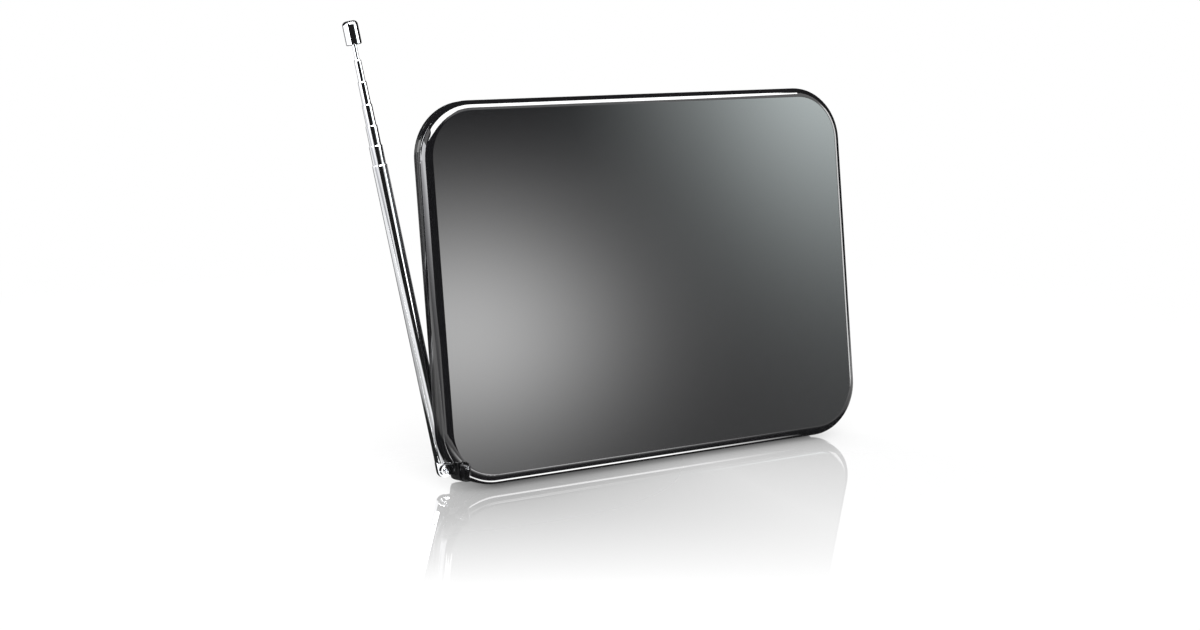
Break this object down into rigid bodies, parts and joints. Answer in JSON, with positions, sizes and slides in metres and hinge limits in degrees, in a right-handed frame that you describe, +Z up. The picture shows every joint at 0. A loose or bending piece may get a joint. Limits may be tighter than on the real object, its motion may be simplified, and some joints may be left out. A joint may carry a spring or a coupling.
{
  "type": "tv antenna",
  "caption": "Flat leaning indoor tv antenna: a glossy rounded case on an easel leg, with a hinged telescopic rod at one corner and a threaded aerial socket.",
  "frame": {"origin": "middle of the foot strip's underside, on the table", "axes": "+X across the case to the viewer's right, +Y to the back, +Z up from the table"},
  "size_m": [0.2673, 0.0682, 0.2147],
  "materials": {
    "case_gloss": "high gloss",
    "black_plastic": "fine satin",
    "soft_rubber": "matt",
    "chrome": "bright plated",
    "steel": "plain",
    "dark_steel": "blackened",
    "tin": "tinned",
    "nickel": "nickel plated",
    "bronze": "sprung strip",
    "copper": "bare foil",
    "board": "laminate",
    "white_plastic": "plain"
  },
  "bodies": {
    "case": {"front_cover": "case_gloss", "rear_cover": "case_gloss", "foot_strip": "soft_rubber", "case_screws": "dark_steel", "board_screws": "steel", "antenna_board": "board", "loop_element": "copper", "feed_pins": "tin", "amp_board": "board", "shield_can": "tin", "contact_leaf": "bronze", "swivel_bush": "black_plastic", "socket_body": "nickel", "socket_insulator": "white_plastic", "socket_contact": "bronze", "socket_washer": "nickel", "socket_nut": "nickel", "stand_pin": "steel"},
    "swivel": {"swivel_clevis": "chrome", "friction_washer": "steel", "shaft_clip": "steel", "hinge_rivet": "chrome"},
    "mast": {"mast_plug": "chrome", "outer_tube": "chrome"},
    "stand": {"stand_leg": "black_plastic", "stand_pad": "soft_rubber"},
    "tube_2": {"tube_2": "chrome"},
    "tube_3": {"tube_3": "chrome"},
    "tube_4": {"tube_4": "chrome"},
    "tube_5": {"tube_5": "chrome"},
    "tube_6": {"tube_6": "chrome"},
    "tip": {"tip_rod": "chrome", "tip_cap": "chrome"}
  },
  "joints": [
    {"name": "mast_swivel", "type": "hinge", "parent": "case", "child": "swivel", "pos_m": [-0.1137, 0.00372, 0.00774], "axis": [-1, 0, 0], "range_deg": [0, 75]},
    {"name": "mast_tilt", "type": "hinge", "parent": "swivel", "child": "mast", "pos_m": [-0.1137, 0.00372, 0.00774], "axis": [0, -0.9823, 0.1874], "range_deg": [-8.2, 81.8]},
    {"name": "tube_2_slide", "type": "slide", "parent": "mast", "child": "tube_2", "axis": [-0.1426, 0.1855, 0.9722], "range_m": [-0.0079, 0.11418]},
    {"name": "tube_3_slide", "type": "slide", "parent": "tube_2", "child": "tube_3", "axis": [-0.1426, 0.1855, 0.9722], "range_m": [-0.0081, 0.11518]},
    {"name": "tube_4_slide", "type": "slide", "parent": "tube_3", "child": "tube_4", "axis": [-0.1426, 0.1855, 0.9722], "range_m": [-0.0086, 0.11588]},
    {"name": "tube_5_slide", "type": "slide", "parent": "tube_4", "child": "tube_5", "axis": [-0.1426, 0.1855, 0.9722], "range_m": [-0.0093, 0.11638]},
    {"name": "tube_6_slide", "type": "slide", "parent": "tube_5", "child": "tube_6", "axis": [-0.1426, 0.1855, 0.9722], "range_m": [-0.0088, 0.11808]},
    {"name": "tip_slide", "type": "slide", "parent": "tube_6", "child": "tip", "axis": [-0.1426, 0.1855, 0.9722], "range_m": [-0.0058, 0.12228]},
    {"name": "stand_fold", "type": "hinge", "parent": "case", "child": "stand", "pos_m": [0, 0.02985, 0.11647], "axis": [-1, 0, 0], "range_deg": [0, 22]}
  ]
}
